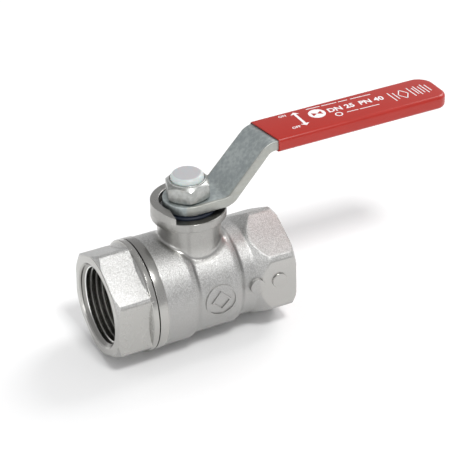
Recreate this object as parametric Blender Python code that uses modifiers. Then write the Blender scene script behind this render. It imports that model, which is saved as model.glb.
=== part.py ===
"""Two-piece ball valve with a cranked lever, female threads at both ends.

Lengths are in millimetres in the values below and are turned into metres by the helpers.
The frame: X runs along the pipe, from the screwed-in inlet connector to the body's own
outlet, Z runs up the stem, and the two axes cross at the origin. The valve is open at rest.
"""

import math

import bmesh
import bpy
from mathutils import Matrix

MM = 0.001
AROUND_PIPE = 48  # facets of what is turned about the pipe axis
AROUND_STEM = 40  # facets of what is turned about the stem axis
SMALL_ROUND = 28  # facets of what lies inside, and of holes and pads

GAP = 0.3  # clearance between neighbouring pieces
SMALL_CHAMFER = 0.3

# Flow way and sockets
BORE_R = 12.5
SOCKET_R = 15.15  # crest radius of the female pipe thread
SOCKET_DEPTH = 15.5
MOUTH_CHAMFER = 1.7
INLET_LAND = 8.6  # between socket and seat pocket
OUTLET_LAND = 4.4

# Ball and seats
BALL_LENGTH = 25.9  # between the flat rings round its bore
BALL_CLEARANCE = 0.5
SEAT_LENGTH = 5.4
SEAT_WALL = 3.7
SEAT_LAND = 1.73  # flat ring outside the ball-shaped face
SEAT_PROUD = 1.2  # how far the inlet seat stands out of the spigot
SEAT_RECESS = 1.3  # how far the outlet pocket starts before its seat
SLOT_WIDTH = 6.4
SLOT_DEPTH = 4.0
SLOT_END = 2.4  # room past the tang

# Walls round the hollows
BARREL_WALL = 2.15
TAIL_WALL = 2.2
FRONT_WALL = 1.95
BALL_PASSAGE = 1.35  # how much wider than the cavity the screwed joint is
RIM_HEIGHT = 0.5
RIM_WIDTH = 3.6

# Joint between connector and body
SPIGOT_LENGTH = 12.1
JOINT_RING_DEPTH = 1.4
JOINT_RING_HEIGHT = 0.85

# Hexagons
CONNECTOR_WALL = 4.85  # socket to flat
CONNECTOR_CORNER_CUT = 0.34
CONNECTOR_TURN = math.radians(4.5)  # where its thread happened to tighten
SHOULDER_WIDTH = 2.1
SHOULDER_SLOPE = 1.3
OUTLET_WALL = 4.55
OUTLET_CORNER_CUT = 1.15
OUTLET_HEX_LENGTH = 16.9
HEX_RAMP = 6.9  # length over which the outlet hexagon rises out of the tail
END_CHAMFER = 1.1

# Barrel steps, along X
FRONT_STEP = 3.8  # from the spigot's end
TAIL_STEP = 0.6  # from the outlet seat's face
STEP_RUN = 2.9

# Raised pads on the outlet's near flat
PAD_R = 3.1
PAD_HEIGHT = 0.45
PAD_SPACING = 9.6
PAD_FROM_FACE = 7.6
PAD_Z = 1.4

# Stem
STEM_R = 6.0
STEM_LEDGE = 2.0  # shoulder over shank
STEM_SHOULDER_HEIGHT = 2.2
STEM_OVER_BALL = 0.4
WASHER_THICKNESS = 1.0
TANG_STEP = 0.4
RING_SECTION = 1.4
THREAD_STEP = 1.15
FLAT_DEPTH = 1.05

# Neck, stop collar and its wall
NECK_WALL = 4.15
NECK_HEIGHT = 7.4  # from the top of the stem's pocket to the collar
COLLAR_HEIGHT = 3.4
DUST_RING_WIDTH = 4.6
DUST_RECESS = 0.9
STOP_WALL = 3.45
STOP_WALL_HEIGHT = 3.9
STOP_RAMP = 3.6
STOP_RAMP_DROP = 1.4

# Lever
LEVER_LIFT = 1.0  # lever over collar
LEVER_THICKNESS = 4.0
LEVER_END_ROOM = 1.4  # round end inside the stop wall
LEVER_HALF_WIDTH = 8.9  # along the handle
CRANK_FROM_END = 3.7
CRANK_ANGLE = math.radians(47)
CRANK_RISE = 18.4
BEND_R = 5.0
TAPER_START = 4.0
LEVER_REACH = 111.4  # stem axis to the sleeve's tip

# Sleeve
SLEEVE_WALL = 0.6
MOUTH_LAP = 0.9  # the mouth's far side laps onto the bend
MOUTH_SKEW = 3.0  # and its near side stands back by this much
TIP_NEAR_R = 5.0
TIP_FAR_R = 7.0
SLEEVE_ROUND = 1.3
SLEEVE_END_WALL = 1.3

# Nut and its closed plastic insert
CAP_WALL = 1.35  # insert round the thread
CROWN_WALL = 0.5
NUT_SHOULDER = 0.7  # crown to flat
NUT_TURN = math.radians(12)
NUT_CORNER_CUT = 0.09
NUT_HEIGHT = 6.7
NUT_BOTTOM_CHAMFER = 0.7
NUT_TOP_CHAMFER = 1.3
CROWN_HEIGHT = 0.7
CAP_SEAT = 1.2
CAP_HEIGHT = 2.2
CAP_TAPER = 1.3
CAP_SOLE = 0.6


def hexagon_radius(across_flats):
    return across_flats / math.sqrt(3)


# Worked out along the pipe
ball_r = math.hypot(BORE_R, BALL_LENGTH / 2)
cavity_r = ball_r + BALL_CLEARANCE
seat_r = BORE_R + GAP + SEAT_WALL
seat_face_x = math.sqrt((ball_r + GAP) ** 2 - (seat_r - SEAT_LAND) ** 2)
pocket_r = seat_r + GAP
pocket_x = seat_face_x + SEAT_LENGTH + GAP
barrel_r = cavity_r + BARREL_WALL
tail_r = pocket_r + TAIL_WALL
spigot_r = cavity_r + BALL_PASSAGE
front_r = spigot_r + GAP + FRONT_WALL
rim_r = front_r + RIM_HEIGHT
mouth_r = SOCKET_R + MOUTH_CHAMFER
connector_flats = 2 * (SOCKET_R + CONNECTOR_WALL)
outlet_flats = 2 * (SOCKET_R + OUTLET_WALL)
connector_corner_r = hexagon_radius(connector_flats) - CONNECTOR_CORNER_CUT
outlet_corner_r = hexagon_radius(outlet_flats) - OUTLET_CORNER_CUT
spigot_x = -(seat_face_x + SEAT_PROUD)
shoulder_x = spigot_x - SPIGOT_LENGTH  # the connector's round shoulder ends here
joint_x = shoulder_x + GAP  # the body's front face
front_step_x = spigot_x + FRONT_STEP
tail_step_x = seat_face_x + TAIL_STEP
inlet_socket_x = -(pocket_x + INLET_LAND)
outlet_socket_x = pocket_x + OUTLET_LAND
inlet_x = inlet_socket_x - SOCKET_DEPTH
outlet_x = outlet_socket_x + SOCKET_DEPTH
hex_start = outlet_x - OUTLET_HEX_LENGTH
pad_root = min(tail_r, outlet_flats / 2) - TAIL_WALL / 2

# Worked out outwards from the stem's axis
thread_r = STEM_R - THREAD_STEP
stem_flats = 2 * (thread_r - FLAT_DEPTH)
tang_r = STEM_R - TANG_STEP
slot_half_length = tang_r + SLOT_END
stem_shoulder_r = STEM_R + STEM_LEDGE
neck_r = stem_shoulder_r + GAP + NECK_WALL
dust_ring_r = STEM_R + GAP + DUST_RING_WIDTH
stop_wall_r = dust_ring_r + GAP + 0.1  # inner radius
collar_r = stop_wall_r + STOP_WALL
lever_end_r = stop_wall_r - LEVER_END_ROOM
cap_r = thread_r + GAP + CAP_WALL
crown_r = cap_r + GAP + CROWN_WALL
nut_flats = 2 * (crown_r + NUT_SHOULDER)
nut_corner_r = hexagon_radius(nut_flats) - NUT_CORNER_CUT
nut_face_r = nut_flats / 2 - 0.2
cap_face_r = cap_r - CAP_TAPER

# Worked out up the stem
stem_shoulder_z = ball_r + STEM_OVER_BALL
washer_z = stem_shoulder_z + STEM_SHOULDER_HEIGHT + GAP
neck_pocket_z = washer_z + WASHER_THICKNESS + GAP
collar_z = neck_pocket_z + NECK_HEIGHT
collar_top_z = collar_z + COLLAR_HEIGHT
stop_top_z = collar_top_z + STOP_WALL_HEIGHT
lever_z = collar_top_z + LEVER_LIFT
lever_top_z = lever_z + LEVER_THICKNESS
handle_z = lever_z + LEVER_THICKNESS / 2 + CRANK_RISE  # middle of the handle's thickness
nut_z = lever_top_z + GAP
nut_top_z = nut_z + NUT_HEIGHT
crown_z = nut_top_z + CROWN_HEIGHT
cap_z = crown_z - CAP_SEAT
cap_top_z = crown_z + CAP_HEIGHT
stem_top_z = cap_z + GAP + CAP_SOLE
slot_floor_z = ball_r - SLOT_DEPTH
stop_face = lever_end_r + GAP

# Worked out along the lever
crank_start = lever_end_r + CRANK_FROM_END
crank_end = crank_start + CRANK_RISE / math.tan(CRANK_ANGLE)
bend_reach = BEND_R * math.tan(CRANK_ANGLE / 2)
mouth_far_x = crank_end + bend_reach - MOUTH_LAP
mouth_near_x = mouth_far_x + MOUTH_SKEW
near_corner_r = TIP_NEAR_R - SLEEVE_WALL
far_corner_r = TIP_FAR_R - SLEEVE_WALL

for old in list(bpy.data.objects):
    bpy.data.objects.remove(old, do_unlink=True)


def new_collection(name):
    collection = bpy.data.collections.new(name)
    bpy.context.scene.collection.children.link(collection)
    return collection


valve = new_collection("ball_valve")
cutters = new_collection("cutters")


def material(name, colour, metallic, roughness):
    made = bpy.data.materials.new(name)
    made.use_nodes = True
    shader = made.node_tree.nodes["Principled BSDF"]
    shader.inputs["Base Color"].default_value = (*colour, 1)
    shader.inputs["Metallic"].default_value = metallic
    shader.inputs["Roughness"].default_value = roughness
    made.diffuse_color = (*colour, 1)
    return made


def add_object(name, mesh, collection):
    obj = bpy.data.objects.new(name, mesh)
    collection.objects.link(obj)
    if collection is cutters:
        obj.hide_render = True
        obj.display_type = "WIRE"
    return obj


def runs_clockwise(profile):
    """In (radius, height), so that the outer side is drawn from top to bottom."""
    ends = zip(profile, profile[1:] + profile[:1])
    return sum(r0 * h1 - r1 * h0 for (r0, h0), (r1, h1) in ends) < 0


def turned(name, profile, axis="Z", steps=AROUND_STEM, collection=cutters):
    """A profile of (radius, height) points turned about Z, or about X with height along X.

    A profile that starts and ends on the axis stays open there, and any other is a loop.
    """
    if not runs_clockwise(profile):
        profile = profile[::-1]
    on_axis = profile[0][0] == 0 and profile[-1][0] == 0
    last = len(profile) - 1
    edges = [(i, i + 1) for i in range(last)] + ([] if on_axis else [(last, 0)])
    mesh = bpy.data.meshes.new(name)
    mesh.from_pydata([(r * MM, 0, h * MM) for r, h in profile], edges, [])
    obj = add_object(name, mesh, collection)
    screw = obj.modifiers.new("turn", "SCREW")
    screw.axis = "Z"
    screw.angle = math.tau
    screw.steps = screw.render_steps = steps
    screw.use_merge_vertices = True
    screw.merge_threshold = 1e-6
    if axis == "X":
        obj.rotation_euler = (0, math.pi / 2, 0)
    return obj


def box(name, low, high, turn=0.0, collection=cutters):
    """A box between two corners, turned about its first edge along Y."""
    size = [(b - a) * MM for a, b in zip(low, high)]
    middle = [s / 2 for s in size]
    mesh = bpy.data.meshes.new(name)
    shape = bmesh.new()
    bmesh.ops.create_cube(shape, size=1, matrix=Matrix.Translation(middle) @ Matrix.Diagonal((*size, 1)))
    shape.to_mesh(mesh)
    shape.free()
    obj = add_object(name, mesh, collection)
    obj.location = [a * MM for a in low]
    obj.rotation_euler = (0, turn, 0)
    return obj


def prism(name, sides, radius, start, end, axis, turn=0.0, collection=cutters):
    """A cylinder or a regular prism along X, Y or Z between two places on that axis.

    Unturned, its first corner points down on one along X and towards +X on one along Z.
    """
    mesh = bpy.data.meshes.new(name)
    shape = bmesh.new()
    bmesh.ops.create_cone(
        shape, cap_ends=True, segments=sides, radius1=radius * MM, radius2=radius * MM,
        depth=abs(end - start) * MM, matrix=Matrix.Rotation(turn - math.pi / 2, 4, "Z"),
    )
    shape.to_mesh(mesh)
    shape.free()
    obj = add_object(name, mesh, collection)
    middle = (start + end) / 2 * MM
    if axis == "X":
        obj.rotation_euler = (0, math.pi / 2, 0)
        obj.location.x = middle
    elif axis == "Y":
        obj.rotation_euler = (math.pi / 2, 0, 0)
        obj.location.y = middle
    else:
        obj.location.z = middle
    return obj


def outline(name, points, half_depth, upright=False, collection=cutters):
    """A flat outline of (x, y) points, given a depth both ways; upright ones lie in XZ."""
    curve = bpy.data.curves.new(name, "CURVE")
    curve.dimensions = "2D"
    curve.fill_mode = "BOTH"
    curve.extrude = half_depth * MM
    line = curve.splines.new("POLY")
    line.points.add(len(points) - 1)
    for point, (x, y) in zip(line.points, points):
        point.co = (x * MM, y * MM, 0, 1)
    line.use_cyclic_u = True
    guide = bpy.data.objects.new(name + "_outline", curve)
    bpy.context.scene.collection.objects.link(guide)
    if upright:
        guide.rotation_euler = (math.pi / 2, 0, 0)
    bpy.context.view_layer.update()
    mesh = bpy.data.meshes.new_from_object(guide.evaluated_get(bpy.context.evaluated_depsgraph_get()))
    mesh.name = name
    shape = bmesh.new()
    shape.from_mesh(mesh)
    bmesh.ops.remove_doubles(shape, verts=shape.verts, dist=1e-7)
    bmesh.ops.recalc_face_normals(shape, faces=shape.faces)
    shape.to_mesh(mesh)
    shape.free()
    obj = add_object(name, mesh, collection)
    obj.matrix_world = guide.matrix_world
    bpy.data.objects.remove(guide, do_unlink=True)
    return obj


def combine(obj, operation, *others):
    for other in others:
        boolean = obj.modifiers.new(other.name, "BOOLEAN")
        boolean.operation = operation
        boolean.object = other
        boolean.solver = "EXACT"
    return obj


def arc(centre, radius, start, end, steps):
    """Points on an arc, with both angles in radians."""
    angles = [start + (end - start) * i / steps for i in range(steps + 1)]
    return [(centre[0] + radius * math.cos(a), centre[1] + radius * math.sin(a)) for a in angles]


def seat_profile():
    """A ring with a ball-shaped face towards the origin, as (radius, x)."""
    sphere_r = ball_r + GAP
    inner_r = BORE_R + GAP
    bore_angle = math.asin(inner_r / sphere_r)
    face_angle = math.acos(seat_face_x / sphere_r)
    dish = [(sphere_r * math.sin(a), sphere_r * math.cos(a))
            for a in [bore_angle + (face_angle - bore_angle) * i / 3 for i in range(4)]]
    back_x = seat_face_x + SEAT_LENGTH
    return dish + [(seat_r, seat_face_x), (seat_r, back_x), (inner_r, back_x)]


def build_body():
    """The forging: barrel, neck, stop collar and outlet hexagon, hollow inside."""
    body = turned("valve_body", [
        (0, joint_x), (rim_r - SMALL_CHAMFER, joint_x), (rim_r, joint_x + SMALL_CHAMFER),
        (rim_r, joint_x + RIM_WIDTH), (front_r, joint_x + RIM_WIDTH + 0.2),
        (front_r, front_step_x), (barrel_r, front_step_x + STEP_RUN),
        (barrel_r, tail_step_x), (tail_r, tail_step_x + STEP_RUN),
        (tail_r, hex_start + 2), (0, hex_start + 2),
    ], axis="X", steps=AROUND_PIPE, collection=valve)

    hexagon = prism("outlet_hexagon", 6, hexagon_radius(outlet_flats), hex_start, outlet_x, "X")
    envelope = turned("outlet_envelope", [
        (0, hex_start - 1), (tail_r - 0.5, hex_start - 1), (tail_r - 0.1, hex_start),
        (outlet_corner_r, hex_start + HEX_RAMP), (outlet_corner_r, outlet_x - END_CHAMFER),
        (outlet_corner_r - END_CHAMFER, outlet_x), (outlet_corner_r - END_CHAMFER, outlet_x + 1),
        (0, outlet_x + 1),
    ], axis="X", steps=AROUND_PIPE)
    combine(hexagon, "INTERSECT", envelope)

    neck = turned("neck", [
        (0, BORE_R), (neck_r, BORE_R), (neck_r, collar_z - 1), (neck_r + 0.4, collar_z - 0.3),
        (collar_r - SMALL_CHAMFER, collar_z), (collar_r, collar_z + SMALL_CHAMFER),
        (collar_r, collar_top_z - SMALL_CHAMFER), (collar_r - SMALL_CHAMFER, collar_top_z),
        (0, collar_top_z),
    ])
    wall = turned("stop_wall", [
        (stop_wall_r, collar_z + 1), (collar_r - 0.05, collar_z + 1),
        (collar_r - 0.05, stop_top_z - SMALL_CHAMFER),
        (collar_r - 0.05 - SMALL_CHAMFER, stop_top_z), (stop_wall_r, stop_top_z),
    ])
    lever_room_near = box("lever_room_near", (-stop_face, -2 * collar_r, collar_top_z - 0.5),
                          (2 * collar_r, 0, stop_top_z + 2))
    lever_room_far = box("lever_room_far", (0, -2 * collar_r, collar_top_z - 0.5),
                         (2 * collar_r, stop_face, stop_top_z + 2))
    ramp_turn = math.atan2(STOP_RAMP_DROP, STOP_RAMP)
    ramp = box("stop_ramp", (-stop_face - STOP_RAMP, -2 * collar_r, stop_top_z),
               (2 * collar_r, -neck_r / 3, stop_top_z + 6), turn=ramp_turn)
    combine(wall, "DIFFERENCE", lever_room_near, lever_room_far, ramp)

    pads = [prism(f"pad_{i}", SMALL_ROUND, PAD_R, -outlet_flats / 2 - PAD_HEIGHT,
                  -pad_root, "Y") for i in range(2)]
    for i, pad in enumerate(pads):
        pad.location.x = (outlet_x - PAD_FROM_FACE - i * PAD_SPACING) * MM
        pad.location.z = PAD_Z * MM

    hollow = turned("body_hollow", [
        (0, joint_x - 1), (spigot_r + 2 * GAP + JOINT_RING_HEIGHT, joint_x - 1),
        (spigot_r + 2 * GAP + JOINT_RING_HEIGHT, joint_x + JOINT_RING_DEPTH),
        (spigot_r + GAP, joint_x + JOINT_RING_DEPTH), (spigot_r + GAP, spigot_x + GAP),
        (cavity_r, spigot_x + GAP), (cavity_r, seat_face_x - SEAT_RECESS),
        (pocket_r, seat_face_x - SEAT_RECESS),
        (pocket_r, pocket_x), (BORE_R, pocket_x), (BORE_R, outlet_socket_x),
        (SOCKET_R, outlet_socket_x), (SOCKET_R, outlet_x + SOCKET_R - mouth_r),
        (mouth_r + 1, outlet_x + 1), (0, outlet_x + 1),
    ], axis="X", steps=AROUND_PIPE)
    stem_hole = turned("stem_hole", [
        (0, BORE_R), (stem_shoulder_r + GAP, BORE_R), (stem_shoulder_r + GAP, neck_pocket_z),
        (STEM_R + GAP, neck_pocket_z), (STEM_R + GAP, collar_top_z - DUST_RECESS),
        (dust_ring_r + GAP, collar_top_z - DUST_RECESS), (dust_ring_r + GAP, collar_top_z + 0.1),
        (0, collar_top_z + 0.1),
    ])
    combine(body, "UNION", hexagon, neck, *pads)
    combine(body, "DIFFERENCE", hollow, stem_hole)
    return combine(body, "UNION", wall)


def build_connector():
    """The inlet end: hexagon with a round shoulder, and the spigot screwed into the body."""
    connector = prism("end_connector", 6, hexagon_radius(connector_flats), inlet_x,
                      shoulder_x - SHOULDER_WIDTH / 2, "X", turn=CONNECTOR_TURN, collection=valve)
    envelope = turned("connector_envelope", [
        (0, inlet_x - 1), (connector_flats / 2, inlet_x - 1), (connector_flats / 2 + 0.4, inlet_x),
        (connector_corner_r, inlet_x + 1.3), (connector_corner_r, shoulder_x), (0, shoulder_x),
    ], axis="X", steps=AROUND_PIPE)
    spigot = turned("connector_spigot", [
        (0, shoulder_x - SHOULDER_WIDTH - SHOULDER_SLOPE - 1),
        (connector_flats / 2 - 1, shoulder_x - SHOULDER_WIDTH - SHOULDER_SLOPE - 1),
        (connector_flats / 2 - 0.1, shoulder_x - SHOULDER_WIDTH - SHOULDER_SLOPE),
        (rim_r - 0.1, shoulder_x - SHOULDER_WIDTH),
        (rim_r, shoulder_x - SHOULDER_WIDTH + SMALL_CHAMFER),
        (rim_r, shoulder_x - SMALL_CHAMFER), (rim_r - SMALL_CHAMFER, shoulder_x), (spigot_r, shoulder_x),
        (spigot_r, spigot_x - 0.6), (spigot_r - 0.6, spigot_x), (0, spigot_x),
    ], axis="X", steps=AROUND_PIPE)
    hollow = turned("connector_hollow", [
        (0, inlet_x - 1), (mouth_r + 1, inlet_x - 1), (SOCKET_R, inlet_x + mouth_r - SOCKET_R),
        (SOCKET_R, inlet_socket_x), (BORE_R, inlet_socket_x), (BORE_R, -pocket_x),
        (pocket_r, -pocket_x), (pocket_r, spigot_x + 1), (0, spigot_x + 1),
    ], axis="X", steps=AROUND_PIPE)
    combine(connector, "INTERSECT", envelope)
    combine(connector, "UNION", spigot)
    combine(connector, "DIFFERENCE", hollow)
    return connector


def build_joint_ring():
    inner_r = spigot_r + GAP
    end_x = joint_x + JOINT_RING_DEPTH - GAP
    return turned("joint_seal_ring", [
        (inner_r, joint_x), (inner_r + JOINT_RING_HEIGHT, joint_x),
        (inner_r + JOINT_RING_HEIGHT, end_x), (inner_r, end_x),
    ], axis="X", steps=AROUND_PIPE, collection=valve)


def build_ball():
    edge = math.acos(BORE_R / ball_r)
    sphere = [(ball_r * math.cos(a), ball_r * math.sin(a))
              for a in [edge - 2 * edge * i / 14 for i in range(15)]]
    ball = turned("ball", sphere, axis="X", steps=AROUND_PIPE, collection=valve)
    slot = box("ball_slot", (-SLOT_WIDTH / 2, -slot_half_length, slot_floor_z),
               (SLOT_WIDTH / 2, slot_half_length, ball_r + 1))
    return combine(ball, "DIFFERENCE", slot)


def build_seats():
    """Both PTFE rings come from one profile, mirrored along the pipe."""
    outlet = seat_profile()
    inlet = [(r, -x) for r, x in outlet]
    return [turned(name, profile, axis="X", steps=AROUND_PIPE, collection=valve)
            for name, profile in (("seat_ring_outlet", outlet), ("seat_ring_inlet", inlet))]


def ring_groove(middle_z):
    """The groove of one O-ring in the stem, from top to bottom."""
    floor_r = STEM_R - RING_SECTION - GAP
    half = RING_SECTION / 2 + GAP
    return [(STEM_R, middle_z + half), (floor_r, middle_z + half),
            (floor_r, middle_z - half), (STEM_R, middle_z - half)]


def o_ring_heights():
    """The two O-rings share the neck's straight bore in thirds."""
    top = collar_top_z - DUST_RECESS
    return [neck_pocket_z + (top - neck_pocket_z) * share for share in (1 / 3, 2 / 3)]


def build_stem():
    lower_z, upper_z = o_ring_heights()
    shank_top = lever_z - GAP
    stem = turned("stem", [
        (0, stem_top_z), (thread_r - 0.8, stem_top_z), (thread_r, stem_top_z - 0.8),
        (thread_r, shank_top), (STEM_R, shank_top),
        *ring_groove(upper_z), *ring_groove(lower_z),
        (STEM_R, stem_shoulder_z + STEM_SHOULDER_HEIGHT),
        (stem_shoulder_r, stem_shoulder_z + STEM_SHOULDER_HEIGHT), (stem_shoulder_r, stem_shoulder_z),
        (tang_r, stem_shoulder_z), (tang_r, slot_floor_z + GAP), (0, slot_floor_z + GAP),
    ], steps=SMALL_ROUND, collection=valve)
    tang_half = SLOT_WIDTH / 2 - GAP
    tang_sides = [box(f"tang_side_{i}", low, high) for i, (low, high) in enumerate((
        ((tang_half, -tang_r - 1, 0), (tang_r + 1, tang_r + 1, stem_shoulder_z)),
        ((-tang_r - 1, -tang_r - 1, 0), (-tang_half, tang_r + 1, stem_shoulder_z))))]
    top_sides = [box(f"stem_flat_{i}", low, high) for i, (low, high) in enumerate((
        ((-STEM_R, stem_flats / 2, shank_top), (STEM_R, STEM_R, stem_top_z + 1)),
        ((-STEM_R, -STEM_R, shank_top), (STEM_R, -stem_flats / 2, stem_top_z + 1))))]
    return combine(stem, "DIFFERENCE", *tang_sides, *top_sides)


def build_o_rings():
    """Round rings in the stem's grooves, clear of groove and bore."""
    radius = STEM_R - RING_SECTION / 2
    rings = []
    for name, middle_z in zip(("stem_o_ring_lower", "stem_o_ring_upper"), o_ring_heights()):
        section = arc((radius, middle_z), RING_SECTION / 2, 0, math.tau * 7 / 8, 7)
        rings.append(turned(name, section, steps=SMALL_ROUND, collection=valve))
    return rings


def build_washer():
    return turned("stem_thrust_washer", [
        (STEM_R + GAP, washer_z), (stem_shoulder_r, washer_z),
        (stem_shoulder_r, washer_z + WASHER_THICKNESS), (STEM_R + GAP, washer_z + WASHER_THICKNESS),
    ], steps=SMALL_ROUND, collection=valve)


def build_dust_ring():
    bottom_z = collar_top_z - DUST_RECESS + GAP
    return turned("stem_dust_ring", [
        (STEM_R + GAP, bottom_z), (dust_ring_r, bottom_z),
        (dust_ring_r, lever_z - GAP), (STEM_R + GAP, lever_z - GAP),
    ], collection=valve)


def crank_side(offset, steps=6):
    """One side of the bent strip seen from -Y, at a distance from its middle line."""
    low_z = lever_z + LEVER_THICKNESS / 2
    first = arc((crank_start - bend_reach, low_z + BEND_R), BEND_R - offset,
                -math.pi / 2, CRANK_ANGLE - math.pi / 2, steps)
    second = arc((crank_end + bend_reach, handle_z - BEND_R), BEND_R + offset,
                 CRANK_ANGLE + math.pi / 2, math.pi / 2, steps)
    return [(-2 * lever_end_r, low_z + offset), *first, *second, (LEVER_REACH, handle_z + offset)]


def lever_plan():
    """The lever from above: round round the stem, tapered to the handle, with a round tip."""
    tip_x = LEVER_REACH - SLEEVE_END_WALL - GAP
    taper_end = crank_end + BEND_R
    return [
        *arc((0, 0), lever_end_r, math.pi / 2, 3 * math.pi / 2, 24),
        (TAPER_START, -lever_end_r), (taper_end, -LEVER_HALF_WIDTH),
        *arc((tip_x - near_corner_r, near_corner_r - LEVER_HALF_WIDTH), near_corner_r, -math.pi / 2, 0, 6),
        *arc((tip_x - far_corner_r, LEVER_HALF_WIDTH - far_corner_r), far_corner_r, 0, math.pi / 2, 6),
        (taper_end, LEVER_HALF_WIDTH), (TAPER_START, lever_end_r),
    ]


def build_lever():
    half = LEVER_THICKNESS / 2
    strip = crank_side(half) + crank_side(-half)[::-1]
    lever = outline("lever_plate", strip, 2 * lever_end_r, upright=True, collection=valve)
    plan = outline("lever_plan", lever_plan(), handle_z)
    plan.location.z = handle_z * MM
    hole = prism("lever_hole", SMALL_ROUND, thread_r + GAP, lever_z - 1, lever_top_z + 1, "Z")
    flats = box("lever_hole_flats", (-STEM_R, -stem_flats / 2 - GAP, lever_z - 2),
                (STEM_R, stem_flats / 2 + GAP, lever_top_z + 2))
    combine(hole, "INTERSECT", flats)
    combine(lever, "INTERSECT", plan)
    return combine(lever, "DIFFERENCE", hole)


def build_sleeve():
    """A closed-ended cover over the handle, with its mouth a little askew."""
    inner_half = LEVER_HALF_WIDTH + GAP
    outer_half = inner_half + SLEEVE_WALL - GAP / 2
    outer = [
        (mouth_near_x, -outer_half),
        *arc((LEVER_REACH - TIP_NEAR_R, TIP_NEAR_R - outer_half), TIP_NEAR_R, -math.pi / 2, 0, 7),
        *arc((LEVER_REACH - TIP_FAR_R, outer_half - TIP_FAR_R), TIP_FAR_R, 0, math.pi / 2, 7),
        (mouth_far_x, outer_half),
    ]
    half_height = LEVER_THICKNESS / 2 + GAP + SLEEVE_WALL
    sleeve = outline("lever_sleeve", outer, half_height, collection=valve)
    sleeve.location.z = handle_z * MM
    rounding = sleeve.modifiers.new("rounding", "BEVEL")
    rounding.width = SLEEVE_ROUND * MM
    rounding.segments = 3
    rounding.limit_method = "ANGLE"
    rounding.angle_limit = math.radians(60)
    pocket_end = LEVER_REACH - SLEEVE_END_WALL
    pocket = outline("sleeve_pocket", [
        (mouth_far_x - 5, -inner_half),
        *arc((pocket_end - near_corner_r, near_corner_r - inner_half), near_corner_r, -math.pi / 2, 0, 6),
        *arc((pocket_end - far_corner_r, inner_half - far_corner_r), far_corner_r, 0, math.pi / 2, 6),
        (mouth_far_x - 5, inner_half),
    ], LEVER_THICKNESS / 2 + GAP)
    pocket.location.z = handle_z * MM
    return combine(sleeve, "DIFFERENCE", pocket)


def build_nut():
    """A hexagon chamfered at both ends, with a rolled crown round the plastic insert."""
    nut = turned("lock_nut", [
        (0, nut_z), (nut_face_r, nut_z), (nut_corner_r, nut_z + NUT_BOTTOM_CHAMFER),
        (nut_corner_r, nut_top_z - NUT_TOP_CHAMFER), (crown_r, nut_top_z),
        (crown_r, crown_z - 0.2), (crown_r - 0.2, crown_z), (0, crown_z),
    ], collection=valve)
    hexagon = prism("nut_hexagon", 6, hexagon_radius(nut_flats), nut_z - 1, crown_z + 1, "Z",
                    turn=NUT_TURN)
    hole = turned("nut_hole", [
        (0, nut_z - 1), (thread_r + GAP, nut_z - 1), (thread_r + GAP, cap_z),
        (cap_r + GAP, cap_z), (cap_r + GAP, crown_z + 1), (0, crown_z + 1),
    ])
    combine(nut, "INTERSECT", hexagon)
    return combine(nut, "DIFFERENCE", hole)


def build_cap():
    """The nut's plastic insert, closed over the end of the stem."""
    bottom_z = cap_z + GAP
    return turned("lock_nut_cap", [
        (0, cap_top_z), (cap_face_r, cap_top_z), (cap_r - 0.4, cap_top_z - 0.7),
        (cap_r, cap_top_z - 1.5), (cap_r, bottom_z), (thread_r + GAP, bottom_z),
        (thread_r + GAP, stem_top_z + GAP), (0, stem_top_z + GAP),
    ], steps=SMALL_ROUND, collection=valve)


def settle(obj, finish):
    """Makes the modifiers permanent, smooths round sides and keeps edges over 30 degrees sharp."""
    graph = bpy.context.evaluated_depsgraph_get()
    mesh = bpy.data.meshes.new_from_object(obj.evaluated_get(graph))
    mesh.name = obj.name
    mesh.shade_smooth()
    mesh.set_sharp_from_angle(angle=math.radians(30))
    mesh.materials.clear()
    mesh.materials.append(finish)
    return mesh


def pivot(name, pieces):
    """An empty on the stem axis that turns its pieces."""
    empty = bpy.data.objects.new(name, None)
    empty.empty_display_size = 10 * MM
    valve.objects.link(empty)
    for piece in pieces:
        piece.parent = empty
    return empty


nickel = material("nickel_plated_brass", (0.64, 0.64, 0.62), 1.0, 0.32)
zinc = material("zinc_plated_steel", (0.55, 0.58, 0.60), 1.0, 0.36)
bright_zinc = material("bright_zinc_plated_steel", (0.68, 0.69, 0.68), 1.0, 0.3)
chrome = material("polished_chrome_plate", (0.75, 0.75, 0.76), 1.0, 0.08)
brass = material("plain_brass", (0.72, 0.55, 0.26), 1.0, 0.3)
ptfe = material("white_ptfe", (0.9, 0.9, 0.88), 0.0, 0.45)
rubber = material("black_rubber", (0.02, 0.02, 0.022), 0.0, 0.6)
dust_black = material("blue_black_plastic", (0.025, 0.03, 0.045), 0.0, 0.35)
red_plastic = material("red_plastic", (0.62, 0.025, 0.03), 0.0, 0.3)
white_plastic = material("white_plastic", (0.82, 0.86, 0.88), 0.0, 0.35)

outlet_seat, inlet_seat = build_seats()
lower_ring, upper_ring = build_o_rings()
ball = build_ball()
stem = build_stem()
lever = build_lever()
sleeve = build_sleeve()
nut = build_nut()
cap = build_cap()
finishes = {
    build_body(): nickel,
    build_connector(): nickel,
    build_joint_ring(): rubber,
    build_washer(): ptfe,
    build_dust_ring(): dust_black,
    outlet_seat: ptfe,
    inlet_seat: ptfe,
    lower_ring: rubber,
    upper_ring: rubber,
    ball: chrome,
    stem: brass,
    lever: zinc,
    sleeve: red_plastic,
    nut: bright_zinc,
    cap: white_plastic,
}
bpy.context.view_layer.update()
meshes = {obj: settle(obj, finish) for obj, finish in finishes.items()}
for obj, mesh in meshes.items():
    obj.modifiers.clear()
    obj.data = mesh
pivot("lever_axis", [stem, lower_ring, upper_ring, lever, sleeve, nut, cap])
pivot("ball_axis", [ball])
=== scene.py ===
import math

import bmesh
import bpy
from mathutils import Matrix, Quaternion, Vector


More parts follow.
